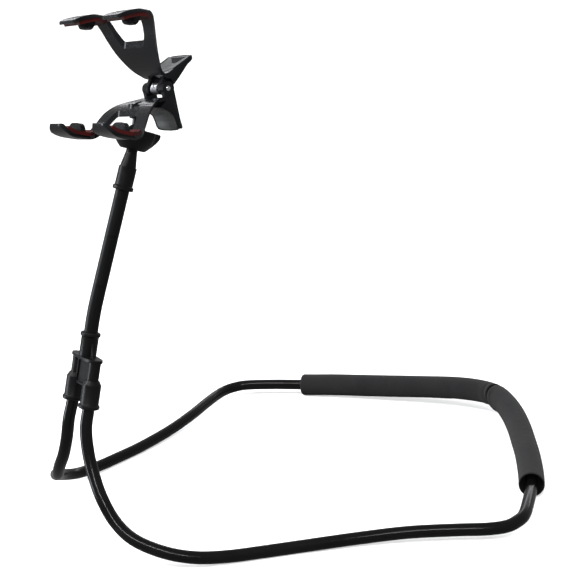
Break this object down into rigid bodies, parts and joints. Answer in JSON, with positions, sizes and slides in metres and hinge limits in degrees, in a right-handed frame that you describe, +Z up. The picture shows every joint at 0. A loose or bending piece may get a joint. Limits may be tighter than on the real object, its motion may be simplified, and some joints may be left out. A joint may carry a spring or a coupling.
{
  "type": "neck phone holder",
  "caption": "Hands-free neck phone holder: bendable neck loop with a foam sleeve, a short arm, a ball joint and a spring clip with claws.",
  "frame": {"origin": "centre of the bounding box in plan, at the height of the surface that the loop lies on", "axes": "+X sideways, to the wearer's left when worn; +Y from the arm and clip at the front to the foam sleeve at the back; +Z up; the loop lies down flat and the arm stands up, as in the picture"},
  "size_m": [0.3804, 0.3516, 0.3405],
  "materials": {
    "tube": "glossy",
    "foam": "matte, soft foam",
    "satin_plastic": "satin",
    "arm_skin": "satin",
    "claw_plastic": "semi-gloss",
    "liner": "smooth",
    "red_rubber": "matte",
    "grey_rubber": "matte",
    "bright_steel": "polished",
    "steel": "plain"
  },
  "bodies": {
    "base": {"neck_tube": "tube", "foam_sleeve": "foam", "y_body": "satin_plastic", "left_coupler": "satin_plastic", "right_coupler": "satin_plastic", "arm_root": "arm_skin"},
    "arm_low": {"arm_lower": "arm_skin"},
    "arm_high": {"arm_upper": "arm_skin"},
    "arm_head": {"arm_tip": "arm_skin", "end_sleeve": "satin_plastic", "ball_socket": "satin_plastic"},
    "nut": {"locking_nut": "satin_plastic"},
    "seat": {"ball_seat": "liner"},
    "ball": {"ball_stud": "claw_plastic", "stud_screw": "steel"},
    "lower_clip": {"lower_jaw": "claw_plastic", "lower_left_pad": "red_rubber", "lower_right_pad": "red_rubber", "lower_wing_pad": "grey_rubber", "pivot_pin": "bright_steel", "torsion_spring": "steel"},
    "upper_clip": {"upper_jaw": "claw_plastic", "upper_left_pad": "red_rubber", "upper_right_pad": "red_rubber", "upper_wing_pad": "grey_rubber"}
  },
  "joints": [
    {"name": "arm_bend_low", "type": "hinge", "parent": "base", "child": "arm_low", "pos_m": [0, -0.14744, 0.15024], "axis": [1, 0, 0], "range_deg": [-35, 35]},
    {"name": "arm_bend_middle", "type": "hinge", "parent": "arm_low", "child": "arm_high", "pos_m": [0, -0.13535, 0.18094], "axis": [0, 0.9304, -0.3665], "range_deg": [-35, 35]},
    {"name": "arm_bend_high", "type": "hinge", "parent": "arm_high", "child": "arm_head", "pos_m": [0, -0.12325, 0.21165], "axis": [1, 0, 0], "range_deg": [-35, 35]},
    {"name": "nut_turn", "type": "hinge", "parent": "arm_head", "child": "nut", "pos_m": [0, -0.1043, 0.25975], "axis": [0, 0.3665, 0.9304], "range_deg": [-180, 180]},
    {"name": "ball_swing", "type": "hinge", "parent": "arm_head", "child": "seat", "pos_m": [0, -0.1043, 0.25975], "axis": [0, 0.3665, 0.9304], "range_deg": [-175, 175]},
    {"name": "ball_tilt", "type": "hinge", "parent": "seat", "child": "ball", "pos_m": [0, -0.1043, 0.25975], "axis": [0.9897, 0.1259, 0.068], "range_deg": [-30, 20]},
    {"name": "clip_turn", "type": "hinge", "parent": "ball", "child": "lower_clip", "pos_m": [0, -0.1043, 0.25975], "axis": [-0.0995, 0.2635, 0.9595], "range_deg": [-175, 175]},
    {"name": "jaw_open", "type": "hinge", "parent": "lower_clip", "child": "upper_clip", "pos_m": [-0.00447, -0.08322, 0.28581], "axis": [-0.9897, -0.1259, -0.068], "range_deg": [-26, 30], "deforming": ["torsion_spring"]}
  ]
}
